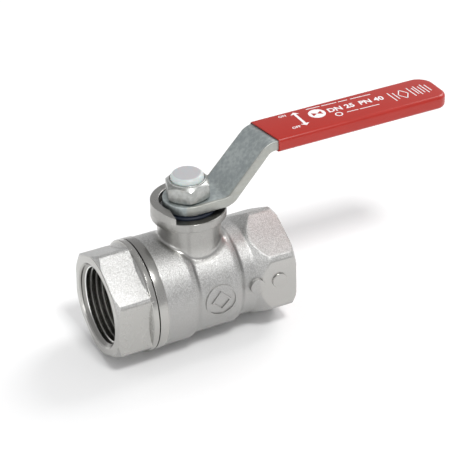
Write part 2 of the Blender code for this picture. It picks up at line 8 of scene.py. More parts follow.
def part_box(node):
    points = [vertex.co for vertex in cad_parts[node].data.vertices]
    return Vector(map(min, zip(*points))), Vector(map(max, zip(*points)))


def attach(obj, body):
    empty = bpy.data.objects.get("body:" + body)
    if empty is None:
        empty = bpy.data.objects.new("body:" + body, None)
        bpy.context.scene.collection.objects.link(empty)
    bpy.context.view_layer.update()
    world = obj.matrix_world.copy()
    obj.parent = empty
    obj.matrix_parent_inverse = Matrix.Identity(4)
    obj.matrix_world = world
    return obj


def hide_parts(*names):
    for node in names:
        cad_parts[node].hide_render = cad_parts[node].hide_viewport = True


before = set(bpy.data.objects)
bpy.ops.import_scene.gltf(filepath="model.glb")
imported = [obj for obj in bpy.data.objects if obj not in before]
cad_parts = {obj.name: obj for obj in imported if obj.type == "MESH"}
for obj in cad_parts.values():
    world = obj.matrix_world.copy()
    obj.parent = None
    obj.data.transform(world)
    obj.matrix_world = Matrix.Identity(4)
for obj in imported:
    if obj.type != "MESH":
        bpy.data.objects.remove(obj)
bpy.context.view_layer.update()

mm = 0.001  # sizes below are in millimetres


def boxOf(node):
    low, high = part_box(node)
    return low / mm, high / mm


bodyLow, bodyHigh = boxOf("valve_body")
connectorLow, connectorHigh = boxOf("end_connector")
seatInLow, seatInHigh = boxOf("seat_ring_inlet")
seatOutLow, seatOutHigh = boxOf("seat_ring_outlet")
jointLow, jointHigh = boxOf("joint_seal_ring")
ballHigh = boxOf("ball")[1]
stemHigh = boxOf("stem")[1]
dustLow, dustHigh = boxOf("stem_dust_ring")
leverLow, leverHigh = boxOf("lever_plate")
sleeveLow, sleeveHigh = boxOf("lever_sleeve")
nutLow, nutHigh = boxOf("lock_nut")
capLow, capHigh = boxOf("lock_nut_cap")


# Modelling helpers

def nothingSelected():
    # out of edit mode, with no object selected
    if bpy.context.mode != "OBJECT":
        bpy.ops.object.mode_set(mode="OBJECT")
    bpy.ops.object.select_all(action="DESELECT")


def only(piece):
    # the piece alone is selected and active
    nothingSelected()
    piece.select_set(True)
    bpy.context.view_layer.objects.active = piece
    return piece


def pick(test):
    # in edit mode, selects only the vertices that pass the test
    bpy.ops.mesh.select_mode(type="VERT")
    bpy.ops.mesh.select_all(action="DESELECT")
    mesh = bpy.context.object.data
    for vertex in bmesh.from_edit_mesh(mesh).verts:
        if test(vertex):
            vertex.select_set(True)
    bmesh.update_edit_mesh(mesh)


def closeUp(piece):
    # merges doubled points and turns the normals outward
    only(piece)
    bpy.ops.object.mode_set(mode="EDIT")
    bpy.ops.mesh.select_all(action="SELECT")
    bpy.ops.mesh.remove_doubles(threshold=1e-6)
    bpy.ops.mesh.normals_make_consistent(inside=False)
    bpy.ops.object.mode_set(mode="OBJECT")
    return piece


def trace(name, points, closed=False, roundSteps=5):
    # each point is x, y, z and how far back its corner is rounded
    nothingSelected()
    bpy.ops.mesh.primitive_plane_add(size=mm)
    piece = bpy.context.object
    piece.name = piece.data.name = name
    bpy.ops.object.mode_set(mode="EDIT")
    bpy.ops.mesh.merge(type="CENTER")
    places = [Vector(point[:3]) * mm for point in points]
    bpy.ops.transform.translate(value=places[0])
    for before, after in zip(places, places[1:] + places[:1] * closed):
        bpy.ops.mesh.extrude_region_move(TRANSFORM_OT_translate={"value": after - before})
    bpy.ops.mesh.select_all(action="SELECT")
    bpy.ops.mesh.remove_doubles(threshold=1e-7)
    for place, point in zip(places, points):
        if len(point) > 3 and point[3]:
            pick(lambda vertex: (vertex.co - place).length < 2e-7)
            bpy.ops.mesh.bevel(offset=point[3] * mm, segments=roundSteps, affect="VERTICES")
    bpy.ops.mesh.select_all(action="SELECT")
    return piece


def lathe(name, profile, axis="X", steps=128, loop=False, roundSteps=5):
    # the profile is (along, radius, rounding), turned about the pipe or the stem
    if axis == "X":
        points = [(along, 0, radius, *more) for along, radius, *more in profile]
    else:
        points = [(radius, 0, along, *more) for along, radius, *more in profile]
    piece = trace(name, points, loop, roundSteps)
    about = (1, 0, 0) if axis == "X" else (0, 0, 1)
    bpy.ops.mesh.spin(steps=steps, angle=math.tau, center=(0, 0, 0), axis=about)
    return closeUp(piece)


def slab(name, outline, depth):
    # a flat closed outline, pushed up by its depth
    piece = trace(name, outline, closed=True)
    bpy.ops.mesh.edge_face_add()
    bpy.ops.mesh.extrude_region_move(TRANSFORM_OT_translate={"value": (0, 0, depth * mm)})
    return closeUp(piece)


def settle(piece):
    only(piece)
    bpy.ops.object.transform_apply(location=True, rotation=True, scale=True)
    return piece


def bar(name, sides, radius, start, end, axis="Z", turn=0.0, place=(0, 0)):
    # a prism or cylinder between two heights along an axis, standing at a place across it
    nothingSelected()
    bpy.ops.mesh.primitive_cylinder_add(vertices=sides, radius=radius * mm, depth=abs(end - start) * mm)
    piece = bpy.context.object
    piece.name = piece.data.name = name
    piece.rotation_euler.z = turn
    settle(piece)
    middle = (start + end) / 2
    if axis == "X":
        piece.rotation_euler.y = math.pi / 2
        piece.location = Vector((middle, place[0], place[1])) * mm
    elif axis == "Y":
        piece.rotation_euler.x = math.pi / 2
        piece.location = Vector((place[0], middle, place[1])) * mm
    else:
        piece.location = Vector((place[0], place[1], middle)) * mm
    return settle(piece)


def block(name, low, high):
    # a box between two opposite corners
    nothingSelected()
    low, high = Vector(low), Vector(high)
    bpy.ops.mesh.primitive_cube_add(size=mm, location=(low + high) / 2 * mm)
    piece = bpy.context.object
    piece.name = piece.data.name = name
    piece.scale = high - low
    return settle(piece)


def join(piece, how, *tools):
    # a boolean with each tool in turn, which uses the tool up
    for tool in tools:
        only(piece)
        cut = piece.modifiers.new("cut", "BOOLEAN")
        cut.operation = how
        cut.solver = "MANIFOLD"
        cut.object = tool
        bpy.ops.object.modifier_apply(modifier=cut.name)
        bpy.data.objects.remove(tool)
    return piece


def softenEdges(piece, width, steps=3, angle=35):
    only(piece)
    bevel = piece.modifiers.new("edges", "BEVEL")
    bevel.width = width * mm
    bevel.segments = steps
    bevel.limit_method = "ANGLE"
    bevel.angle_limit = math.radians(angle)
    bevel.use_clamp_overlap = True
    bpy.ops.object.modifier_apply(modifier=bevel.name)
    return piece


def smooth(piece, angle=30):
    only(piece)
    bpy.ops.object.shade_smooth_by_angle(angle=math.radians(angle))
    return piece


def deliver(piece, body, slot, material, *nodes):
    # gives a finished piece its material and body, and hides the CAD nodes that it replaces
    piece.data.materials.clear()
    piece.data.materials.append(material)
    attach(piece, body)
    if nodes:
        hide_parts(*nodes)
    return piece


# Material helpers

class Wire:
    def __init__(self, surface, socket):
        self.surface, self.socket = surface, socket

    def __add__(self, other):
        return self.surface.maths("ADD", self, other)

    def __sub__(self, other):
        return self.surface.maths("SUBTRACT", self, other)

    def __rsub__(self, other):
        return self.surface.maths("SUBTRACT", other, self)

    def __mul__(self, other):
        return self.surface.maths("MULTIPLY", self, other)

    def __pow__(self, other):
        return self.surface.maths("POWER", self, other)

    __radd__ = __add__
    __rmul__ = __mul__


class Surface:
    def __init__(self, name):
        self.material = bpy.data.materials.new(name)
        self.material.use_nodes = True
        self.tree = self.material.node_tree
        self.tree.nodes.clear()
        self.place = self.node("ShaderNodeTexCoord", out="Object")
        split = self.node("ShaderNodeSeparateXYZ", {}, {0: self.place})
        outputs = split.socket.node.outputs
        self.x, self.y, self.z = (Wire(self, outputs[axis]) for axis in "XYZ")

    def node(self, kind, settings=None, sockets=None, out=0):
        made = self.tree.nodes.new(kind)
        for key, value in (settings or {}).items():
            setattr(made, key, value)
        for key, value in (sockets or {}).items():
            if isinstance(value, Wire):
                self.tree.links.new(value.socket, made.inputs[key])
            else:
                made.inputs[key].default_value = value
        return Wire(self, made.outputs[out]) if made.outputs else made

    def maths(self, operation, first, second=0.0):
        return self.node("ShaderNodeMath", {"operation": operation}, {0: first, 1: second})

    def most(self, first, *others):
        for other in others:
            first = self.maths("MAXIMUM", first, other)
        return first

    def rise(self, value, start, end):
        # 0 before start, 1 past end, and smooth between
        return self.node("ShaderNodeMapRange", {"interpolation_type": "SMOOTHSTEP"},
                         {0: value, 1: start, 2: end, 3: 0.0, 4: 1.0})

    def band(self, value, start, full, fade, end):
        # 1 from full to fade, and 0 outside start and end
        return self.rise(value, start, full) * (1 - self.rise(value, fade, end))

    def noise(self, size, detail=2.0, roughness=0.5, stretch=None):
        # size is the width of one spot, in millimetres
        place = self.place
        if stretch:
            place = self.node("ShaderNodeMapping", {}, {"Vector": place, "Scale": stretch})
        return self.node("ShaderNodeTexNoise", {}, {
            "Vector": place, "Scale": 1 / (size * mm), "Detail": detail, "Roughness": roughness})

    def blend(self, mask, first, second):
        return self.node("ShaderNodeMix", {"data_type": "RGBA"}, {
            0: mask, 6: first if isinstance(first, Wire) else (*first, 1),
            7: second if isinstance(second, Wire) else (*second, 1)}, out=2)

    def mixed(self, mask, first, second):
        return self.node("ShaderNodeMix", {"data_type": "FLOAT"}, {0: mask, 2: first, 3: second})

    def finish(self, colour, roughness, height, depth, more):
        # height is 0 to 1, and depth is what 1 stands for, in millimetres
        bump = self.node("ShaderNodeBump", {}, {"Height": height, "Distance": depth * mm})
        shader = self.node("ShaderNodeBsdfPrincipled", {}, {
            "Base Color": colour, "Roughness": roughness, "Normal": bump, **more})
        self.node("ShaderNodeOutputMaterial", {}, {"Surface": shader})
        return self.material


def metresToMm(wire):
    return wire * (1 / mm)


def farFrom(first, second):
    # how far a point is from an axis, from its two coordinates across that axis
    return (first ** 2 + second ** 2) ** 0.5


# Finishes

nickel = {
    "grain": 0.42, "coarse": 1.3, "cloud": 7.0, "paintedTopLightLow": 0.0, "paintedTopLightHigh": 13.0,
    "neckLow": 17.5, "neckHigh": 23.0, "collarShadowLow": 0.8, "creaseShadeWidth": 1.1, "creaseShadeDepth": 1.4,
    "landShadeDepth": 0.85, "tailStart": 21.0, "tailEnd": 24.0, "bump": 0.2,
}


def nickelSurface(name, machinedMask, paintedShadeStrength=0.0):
    # blasted forging, turned where the mask is 1; the last argument sets how strong the painted shade is
    # on the neck, under the collar and in the steps' creases
    n = nickel
    look = Surface(name)
    x, y, z = (metresToMm(axis) for axis in (look.x, look.y, look.z))
    machined = machinedMask(look, x, y, z)
    blasted = 1 - machined
    grain = look.noise(n["grain"], 2.0, 0.6)
    coarse = look.noise(n["coarse"], 3.0, 0.55)
    cloud = look.noise(n["cloud"], 2.0, 0.5)
    speckle = look.rise(grain, 0.40, 0.62)
    # painted light: the random speckle and cloud are made lighter towards the top, where the light falls
    litTopMask = look.rise(z, n["paintedTopLightLow"], n["paintedTopLightHigh"])
    speckleAndPaintedTopLight = (speckle * 0.7 + cloud * 0.3) * (0.2 + litTopMask * 0.8)
    tone = look.blend(speckleAndPaintedTopLight, (0.40, 0.397, 0.387), (0.69, 0.69, 0.68))
    tone = look.blend(machined, tone, (0.47, 0.465, 0.445))
    radius = farFrom(y, z)
    # painted highlight on the thread crests and painted shade in the thread roots
    threads = 1 - look.rise(radius, thread["major"] + 0.1, thread["major"] + 0.3)
    paintedCrestHighlight = 1 - look.rise(radius, thread["minor"] + 0.1, thread["minor"] + 0.5)
    tone = look.blend(threads, tone, look.blend(paintedCrestHighlight, (0.30, 0.295, 0.28), (0.95, 0.95, 0.93)))
    # painted shade on the machined neck
    neck = look.rise(z, n["neckLow"], n["neckHigh"]) * machined * paintedShadeStrength
    tone = look.blend(neck, tone, (0.20, 0.195, 0.185))
    bottom, top = collar["bottom"], collar["top"]
    # painted shadow: a thin dark line on the neck under the collar's overhang
    line = look.band(z, bottom - n["collarShadowLow"], bottom - 0.3, bottom - 0.1, bottom + 0.1)
    tone = look.blend(line * paintedShadeStrength, tone, (0.05, 0.05, 0.047))
    # painted shade in the creases where the barrel steps down
    for step in ("frontStep", "tailStep"):
        away = look.maths("ABSOLUTE", x - (forging[step] + forging["stepRun"]))
        paintedCreaseShade = 1 - look.rise(away, 0.2, n["creaseShadeWidth"])
        tone = look.blend(paintedCreaseShade * litTopMask * paintedShadeStrength * n["creaseShadeDepth"] * blasted, tone,
                          (0.12, 0.118, 0.112))
    # painted shade on the collar's top land, under the lever and around the stop wall
    collarLandShade = look.band(z, top - 1.2, top - 1.0, top + 0.1, top + 0.3)
    collarLandShade = collarLandShade * (1 - look.rise(farFrom(x, y), collar["radius"] - 0.6, collar["radius"] - 0.3))
    tone = look.blend(collarLandShade * n["landShadeDepth"], tone, (0.05, 0.047, 0.043))
    tail = look.rise(x, n["tailStart"], n["tailEnd"])
    rough = look.mixed(machined, 0.35 + cloud * 0.1 + grain * 0.1 + tail * 0.06, 0.2 + cloud * 0.08)
    turning = look.noise(0.5, 2.0, 0.6, (1.0, 0.04, 0.04))
    relief = (0.3 + litTopMask * 0.7) * blasted
    height = relief * (grain * 0.7 + coarse * 0.4) + machined * turning * 0.08
    return look.finish(tone, rough, height, n["bump"], {"Metallic": 1.0})


def zincSurface(name, dark, light, warm, roughness, edgeMask=None):
    look = Surface(name)
    spangle = look.noise(1.6, 3.0, 0.6)
    cloud = look.noise(9.0, 2.0, 0.5)
    streak = look.noise(2.2, 2.0, 0.6, (0.25, 1.0, 1.0))
    grain = look.noise(0.3, 1.0)
    tone = look.blend(look.rise(spangle * 0.6 + cloud * 0.4, 0.38, 0.64), dark, light)
    if edgeMask:
        tone = look.blend(edgeMask(look) * (0.4 + streak * 0.5), tone, warm)
    else:
        tone = look.blend(look.rise(streak, 0.5, 0.75) * 0.5, tone, warm)
    rough = roughness + spangle * 0.14 + cloud * 0.06
    return look.finish(tone, rough, spangle * 0.5 + grain * 0.3 + streak * 0.3, 0.05, {"Metallic": 1.0})


def chromeSurface():
    look = Surface("polished chrome")
    haze = look.noise(6.0, 2.0)
    lap = look.noise(0.4, 1.0)
    return look.finish(look.blend(haze, (0.72, 0.73, 0.75), (0.82, 0.82, 0.83)),
                       0.05 + haze * 0.05, lap, 0.002, {"Metallic": 1.0})


def brassSurface():
    look = Surface("turned brass")
    haze = look.noise(3.0, 2.0)
    turning = look.noise(0.25, 2.0, 0.5, (0.05, 0.05, 1.0))
    return look.finish(look.blend(haze, (0.62, 0.43, 0.17), (0.80, 0.62, 0.30)),
                       0.2 + haze * 0.12, turning, 0.02, {"Metallic": 1.0})


def vinylSurface():
    look = Surface("red dipped vinyl")
    cloud = look.noise(14.0, 2.0)
    pebble = look.noise(1.2, 2.0, 0.5)
    grain = look.noise(0.25, 1.0)
    tone = look.blend(cloud, (0.37, 0.011, 0.004), (0.45, 0.015, 0.006))
    return look.finish(tone, 0.24 + grain * 0.1 + cloud * 0.05, pebble * 0.7 + grain * 0.15, 0.02,
                       {"Coat Weight": 0.15, "Coat Roughness": 0.12})


def inkSurface():
    look = Surface("white print")
    patch = look.noise(0.6, 3.0, 0.6)
    return look.finish(look.blend(look.rise(patch, 0.5, 0.8), (0.86, 0.85, 0.86), (0.76, 0.68, 0.70)),
                       0.42 + patch * 0.1, patch, 0.01, {})


def nylonSurface():
    look = Surface("white nylon")
    cloud = look.noise(2.5, 2.0)
    grain = look.noise(0.3, 1.0)
    disc = look.rise(metresToMm(look.z), capHigh.z - 0.25, capHigh.z - 0.05)
    ring = look.blend(cloud, (0.52, 0.58, 0.57), (0.60, 0.65, 0.64))
    tone = look.blend(disc, ring, (0.44, 0.44, 0.455))
    return look.finish(tone, 0.32 + cloud * 0.1, grain * 0.4 + cloud * 0.4, 0.02,
                       {"Subsurface Weight": 0.2, "Subsurface Scale": 0.001})


def plasticSurface(name, dark, light, rough):
    look = Surface(name)
    cloud = look.noise(3.0, 3.0)
    grain = look.noise(0.25, 1.0)
    return look.finish(look.blend(cloud, dark, light), rough + grain * 0.12, grain, 0.012, {})


# The forged body

forging = {
    "rimWidth": 3.6, "frontRadius": 22.1, "frontStep": -8.0, "stepRun": 2.5,
    "barrelRadius": 20.65, "tailStep": 11.6, "tailRadius": 19.0, "flats": 39.4,
    "cornerRadius": 22.1, "hexLength": 16.9, "hexRamp": 5.8, "endChamfer": 1.3,
    "neckRadius": 12.45, "neckFoot": 12.5, "voxel": 0.4, "smoothing": 4, "filletReach": 3.5,
    "filletRounds": 26, "stepBulge": 0.9, "stepHollow": 0.6, "turnSteps": 160,
}
collar = {
    "radius": 14.75, "bottom": 29.6, "top": 33.0, "wallInside": 11.3, "stopFace": 10.2,
    "ramp": 6.6, "rampDrop": 1.5, "rampStart": -4.2, "edge": 0.3, "recess": 0.9, "wallEdge": 0.12,
}
hollows = {
    "bore": 12.5, "cavity": 18.5, "pocket": 16.8, "socket": 15.15, "socketDepth": 15.5,
    "gap": 0.3, "spigot": 19.85, "stemPocket": 8.3, "stemPocketTop": 22.2, "stem": 6.3,
    "seatRoom": 1.3, "threadRunOut": 0.9,
}
thread = {"pitch": 2.309, "minor": 15.15, "major": 16.62, "flat": 0.3, "mouth": 17.3, "steps": 96}
pads = {"radius": 3.1, "height": 0.7, "edge": 0.25, "places": (7.6, 17.2), "z": 1.4}
emblem = {"x": 3.0, "z": 0.3, "radius": 6.7, "diamond": 4.3, "line": 0.7, "height": 0.5, "edge": 0.12}


def threadPlug(name, start, end):
    # one pitch of the thread's outline, wound along the pipe and cut square at both ends
    pitch, minor, major, flat = (thread[key] for key in ("pitch", "minor", "major", "flat"))
    begin = start - 1.5 * pitch
    middle = begin + pitch / 2
    piece = trace(name, [(begin, 0, minor), (begin + flat, 0, minor), (middle - 0.1, 0, major),
                         (middle + flat, 0, major), (begin + pitch, 0, minor)])
    only(piece)
    screw = piece.modifiers.new("winding", "SCREW")
    screw.axis = "X"
    screw.screw_offset = pitch * mm
    screw.iterations = math.ceil((end - start) / pitch) + 3
    screw.steps = screw.render_steps = thread["steps"]
    screw.use_merge_vertices = True
    screw.merge_threshold = 1e-6
    bpy.ops.object.modifier_apply(modifier=screw.name)
    bpy.ops.object.mode_set(mode="EDIT")
    bpy.ops.mesh.select_all(action="SELECT")
    bpy.ops.mesh.remove_doubles(threshold=1e-6)
    for place, side in ((start, -1), (end, 1)):
        bpy.ops.mesh.select_all(action="SELECT")
        bpy.ops.mesh.bisect(plane_co=(place * mm, 0, 0), plane_no=(side, 0, 0),
                            use_fill=True, clear_outer=True)
    return closeUp(piece)


def threadedEnd(piece, face, inwards):
    # a female thread with a countersunk mouth; inwards is 1 or -1 along the pipe
    deep = face + inwards * (hollows["socketDepth"] - hollows["threadRunOut"])
    first, last = sorted((face - inwards, deep))
    plug = threadPlug("plug", first, last)
    lip = thread["mouth"] - hollows["socket"]
    mouth = lathe("mouth", [(face - inwards, 0), (face - inwards, thread["mouth"] + 1),
                            (face + inwards * lip, hollows["socket"]), (face + inwards * lip, 0)])
    return join(piece, "DIFFERENCE", plug, mouth)


def makeForging():
    f = forging
    hexStart = bodyHigh.x - f["hexLength"]
    barrel = lathe("forgedBody", [
        (bodyLow.x + 1.5, 0), (bodyLow.x + 1.5, f["frontRadius"]),
        (f["frontStep"], f["frontRadius"], f["stepBulge"]),
        (f["frontStep"] + f["stepRun"], f["barrelRadius"], f["stepHollow"]),
        (f["tailStep"], f["barrelRadius"], f["stepBulge"]),
        (f["tailStep"] + f["stepRun"], f["tailRadius"], f["stepHollow"]),
        (hexStart + 2, f["tailRadius"]), (hexStart + 2, 0)], steps=f["turnSteps"])
    hexagon = bar("hexagon", 6, f["flats"] / math.sqrt(3), hexStart, bodyHigh.x, "X", turn=math.pi / 2)
    inset = f["cornerRadius"] - f["endChamfer"]
    envelope = lathe("envelope", [
        (hexStart - 1, 0), (hexStart - 1, f["tailRadius"] - 0.5), (hexStart, f["tailRadius"] - 0.1),
        (hexStart + f["hexRamp"], f["cornerRadius"]), (bodyHigh.x - f["endChamfer"], f["cornerRadius"]),
        (bodyHigh.x, inset), (bodyHigh.x + 1, inset), (bodyHigh.x + 1, 0)], steps=f["turnSteps"])
    join(hexagon, "INTERSECT", envelope)
    neck = lathe("neck", [(f["neckFoot"], 0), (f["neckFoot"], f["neckRadius"]),
                          (collar["bottom"] + 1, f["neckRadius"]), (collar["bottom"] + 1, 0)], "Z")
    join(barrel, "UNION", hexagon, neck)
    remesh = barrel.modifiers.new("even mesh", "REMESH")
    remesh.mode = "VOXEL"
    remesh.voxel_size = f["voxel"] * mm
    only(barrel)
    bpy.ops.object.modifier_apply(modifier=remesh.name)
    bpy.ops.object.mode_set(mode="EDIT")
    reach = (f["neckRadius"] + f["filletReach"]) * mm
    pick(lambda vertex: vertex.co.xy.length < reach and vertex.co.z > f["neckFoot"] * mm)
    bpy.ops.object.vertex_group_assign_new()
    bpy.ops.object.mode_set(mode="OBJECT")
    for label, rounds, group in (("forged edges", f["smoothing"], ""),
                                 ("neck fillet", f["filletRounds"], "Group")):
        ease = barrel.modifiers.new(label, "SMOOTH")
        ease.factor = 0.5
        ease.iterations = rounds
        ease.vertex_group = group
        bpy.ops.object.modifier_apply(modifier=ease.name)
    barrel.vertex_groups.clear()
    return barrel


def makeCollar():
    c = collar
    ring = lathe("collar", [
        (c["bottom"] - 1.2, 0), (c["bottom"] - 1.2, forging["neckRadius"] - 0.4),
        (c["bottom"], forging["neckRadius"] + 0.3, 0.4), (c["bottom"], c["radius"], c["edge"]),
        (c["top"], c["radius"], c["edge"]), (c["top"], 0)], "Z", steps=160)
    wall = lathe("stopWall", [
        (c["bottom"] + 1, c["wallInside"]), (c["bottom"] + 1, c["radius"] - 0.05),
        (bodyHigh.z, c["radius"] - 0.05, c["edge"]), (bodyHigh.z, c["wallInside"], c["edge"])],
        "Z", steps=160, loop=True)
    nearRoom = block("nearRoom", (-c["stopFace"], -30, c["top"] - 0.5), (30, 0, bodyHigh.z + 2))
    farRoom = block("farRoom", (0, -30, c["top"] - 0.5), (30, c["stopFace"], bodyHigh.z + 2))
    slope = block("slope", (-30, -30, 0), (30, 0, 10))
    slope.rotation_euler.x = math.atan2(c["rampDrop"], c["ramp"])
    slope.location = Vector((0, c["rampStart"], bodyHigh.z)) * mm
    join(wall, "DIFFERENCE", nearRoom, farRoom, settle(slope))
    softenEdges(wall, c["wallEdge"], 2, 50)
    return join(ring, "UNION", wall)


def outlineRing(name, sides, radius, line):
    # a round or square outline of one line's width, standing through the barrel's near side
    place = (emblem["x"], emblem["z"])
    outer = bar(name, sides, radius, -25, -15, "Y", place=place)
    return join(outer, "DIFFERENCE", bar("inner", sides, radius - line, -26, -14, "Y", place=place))


def makeEmblem():
    # a plain ring round a diamond, standing a little above the barrel
    e = emblem
    outer = outlineRing("emblem", 64, e["radius"], e["line"])
    join(outer, "UNION", outlineRing("diamond", 4, e["diamond"], e["line"] * 1.4))
    reach = e["radius"] + 1.3
    skin = bar("skin", 160, forging["barrelRadius"] + e["height"], e["x"] - reach, e["x"] + reach, "X")
    return softenEdges(join(outer, "INTERSECT", skin), e["edge"], 2, 50)


def makePads():
    made = []
    face = -forging["flats"] / 2 - pads["height"]
    for place in pads["places"]:
        pad = bar("pad", 48, pads["radius"], face, face + 2, "Y", place=(bodyHigh.x - place, pads["z"]))
        made.append(softenEdges(pad, pads["edge"], 3, 50))
    return made


def makeBody():
    print("forged body")
    h = hollows
    piece = makeForging()
    rim = lathe("rim", [(bodyLow.x, 0), (bodyLow.x, bodyHigh.y, 0.25),
                        (bodyLow.x + forging["rimWidth"], bodyHigh.y, 0.3),
                        (bodyLow.x + forging["rimWidth"], 0)], steps=192)
    join(piece, "UNION", rim, makeCollar(), makeEmblem(), *makePads())
    pocketX = seatOutHigh.x + h["gap"]
    outletSocket = bodyHigh.x - h["socketDepth"]
    spigotEnd = connectorHigh.x + h["gap"]
    hollow = lathe("hollow", [
        (bodyLow.x - 1, 0), (bodyLow.x - 1, jointHigh.y + h["gap"]),
        (jointHigh.x + h["gap"], jointHigh.y + h["gap"]),
        (jointHigh.x + h["gap"], h["spigot"] + h["gap"]),
        (spigotEnd, h["spigot"] + h["gap"]), (spigotEnd, h["cavity"]),
        (seatOutLow.x - h["seatRoom"], h["cavity"]), (seatOutLow.x - h["seatRoom"], h["pocket"]),
        (pocketX, h["pocket"]), (pocketX, h["bore"]), (outletSocket, h["bore"]),
        (outletSocket, h["socket"]), (bodyHigh.x + 1, h["socket"]), (bodyHigh.x + 1, 0)])
    stemHole = lathe("stemHole", [
        (h["bore"], 0), (h["bore"], h["stemPocket"]), (h["stemPocketTop"], h["stemPocket"]),
        (h["stemPocketTop"], h["stem"]), (collar["top"] - collar["recess"], h["stem"]),
        (collar["top"] - collar["recess"], dustHigh.x + h["gap"]),
        (collar["top"] + 0.1, dustHigh.x + h["gap"]), (collar["top"] + 0.1, 0)], "Z", steps=96)
    join(piece, "DIFFERENCE", hollow, stemHole)
    return smooth(threadedEnd(piece, bodyHigh.x, -1), 32)


def threadMask(look, y, z):
    return 1 - look.rise(farFrom(y, z), thread["mouth"] - 0.3, thread["mouth"])


def bodyMask(look, x, y, z):
    # the rim, the end face, the thread, the neck with its collar, and the near flat are smoother
    rimEnd, half = bodyLow.x + forging["rimWidth"], forging["flats"] / 2
    rim = 1 - look.rise(x, rimEnd + 0.2, rimEnd + 0.5)
    endFace = look.rise(x, bodyHigh.x - 0.25, bodyHigh.x - 0.1)
    socketThread = threadMask(look, y, z) * look.rise(x, 18.0, 18.5)
    foot = (1 - look.rise(farFrom(x, y), 13.3, 15.3)) * look.rise(z, 12.0, 14.0)
    neck = look.most(foot, look.rise(z, 27.0, 28.0)) * 0.75
    nearFlat = look.rise(y * -1, half - 0.4, half - 0.2)
    nearFlat = nearFlat * look.rise(x, bodyHigh.x - 17.0, bodyHigh.x - 15.0) * 0.75
    return look.most(rim, endFace, socketThread, neck, nearFlat)


# 0.5 is the strength of the painted shade on the neck, under the collar and in the creases
deliver(makeBody(), "housing", "nickel_body", nickelSurface("blasted nickel", bodyMask, 0.5),
        "valve_body")


# The screwed-in inlet connector

connector = {
    "flats": 40.0, "cornerRadius": 22.65, "turn": math.radians(4.5), "shoulder": 2.1,
    "slope": 1.3, "faceChamfer": 1.5, "cornerEdge": 0.4, "chamferEdge": 0.12, "spigotChamfer": 0.6,
}


def makeConnector():
    print("inlet connector")
    c, h = connector, hollows
    shoulderX = jointLow.x - h["gap"] - 0.1
    neckX = shoulderX - c["shoulder"]
    piece = bar("inletConnector", 6, c["flats"] / math.sqrt(3), connectorLow.x, neckX + 1, "X",
                turn=math.pi / 2 + c["turn"])
    envelope = lathe("envelope", [
        (connectorLow.x - 1, 0), (connectorLow.x - 1, c["flats"] / 2 - 0.2),
        (connectorLow.x, c["flats"] / 2 + 0.4), (connectorLow.x + c["faceChamfer"], c["cornerRadius"]),
        (shoulderX, c["cornerRadius"]), (shoulderX, 0)], steps=192)
    softenEdges(piece, c["cornerEdge"], 3, 40)
    join(piece, "INTERSECT", envelope)
    softenEdges(piece, c["chamferEdge"], 2, 25)
    spigot = lathe("spigot", [
        (neckX - c["slope"] - 1, 0), (neckX - c["slope"] - 1, c["flats"] / 2 - 1),
        (neckX - c["slope"], c["flats"] / 2 - 0.1), (neckX, bodyHigh.y - 0.1, 0.25),
        (neckX + 0.3, bodyHigh.y, 0.1),
        (shoulderX, bodyHigh.y, 0.25), (shoulderX, h["spigot"]),
        (connectorHigh.x, h["spigot"], c["spigotChamfer"]), (connectorHigh.x, 0)], steps=192)
    pocketX = seatInLow.x - h["gap"]
    socketX = connectorLow.x + h["socketDepth"]
    hollow = lathe("hollow", [
        (connectorLow.x - 1, 0), (connectorLow.x - 1, h["socket"]), (socketX, h["socket"]),
        (socketX, h["bore"], 0.3), (pocketX, h["bore"]), (pocketX, h["pocket"]),
        (connectorHigh.x + 1, h["pocket"]), (connectorHigh.x + 1, 0)])
    join(piece, "UNION", spigot)
    join(piece, "DIFFERENCE", hollow)
    return smooth(threadedEnd(piece, connectorLow.x, 1), 32)


def connectorMask(look, x, y, z):
    # the face, the round shoulder, the thread and the near flat are smoother than the upper flats
    face = 1 - look.rise(x, connectorLow.x + 0.15, connectorLow.x + 0.3)
    shoulder = look.rise(x, jointLow.x - 3.2, jointLow.x - 2.8)
    turn, half = connector["turn"], connector["flats"] / 2
    nearFlat = look.rise(y * -math.cos(turn) - z * math.sin(turn), half - 0.35, half - 0.2) * 0.85
    return look.most(face, shoulder, threadMask(look, y, z), nearFlat)


deliver(makeConnector(), "housing", "nickel_body",
        nickelSurface("nickel connector", connectorMask), "end_connector")


# Rings, seats and ball

ballShape = {"slotWidth": 6.4, "slotDepth": 4.0, "slotHalf": 8.0, "arcSteps": 40, "edge": 0.15}


def squareRing(name, start, end, inner, outer, axis, edge, steps=128):
    piece = lathe(name, [(start, inner, edge), (start, outer, edge), (end, outer, edge),
                         (end, inner, edge)], axis, steps, loop=True, roundSteps=3)
    return smooth(piece)


def makeSeat(name, low, high, side):
    # a ring whose inner corner is dished to the ball
    sphere = ballHigh.z + hollows["gap"]
    inner = hollows["bore"] + hollows["gap"]
    near, far = sorted((low.x, high.x), key=abs)
    first, last = math.asin(inner / sphere), math.acos(abs(near) / sphere)
    dish = [first + (last - first) * step / 10 for step in range(11)]
    profile = [(side * sphere * math.cos(angle), sphere * math.sin(angle)) for angle in dish]
    return smooth(lathe(name, profile + [(near, high.y), (far, high.y), (far, inner)],
                        steps=128, loop=True))


def makeBall():
    print("ball")
    radius = ballHigh.z
    edge = math.acos(hollows["bore"] / radius)
    steps = ballShape["arcSteps"]
    angles = [edge - 2 * edge * step / steps for step in range(steps + 1)]
    profile = [(radius * math.sin(angle), radius * math.cos(angle)) for angle in angles]
    piece = lathe("boredBall", profile, steps=144, loop=True)
    half = ballShape["slotWidth"] / 2
    slot = block("slot", (-half, -ballShape["slotHalf"], radius - ballShape["slotDepth"]),
                 (half, ballShape["slotHalf"], radius + 1))
    join(piece, "DIFFERENCE", slot)
    return smooth(softenEdges(piece, ballShape["edge"], 2, 40))


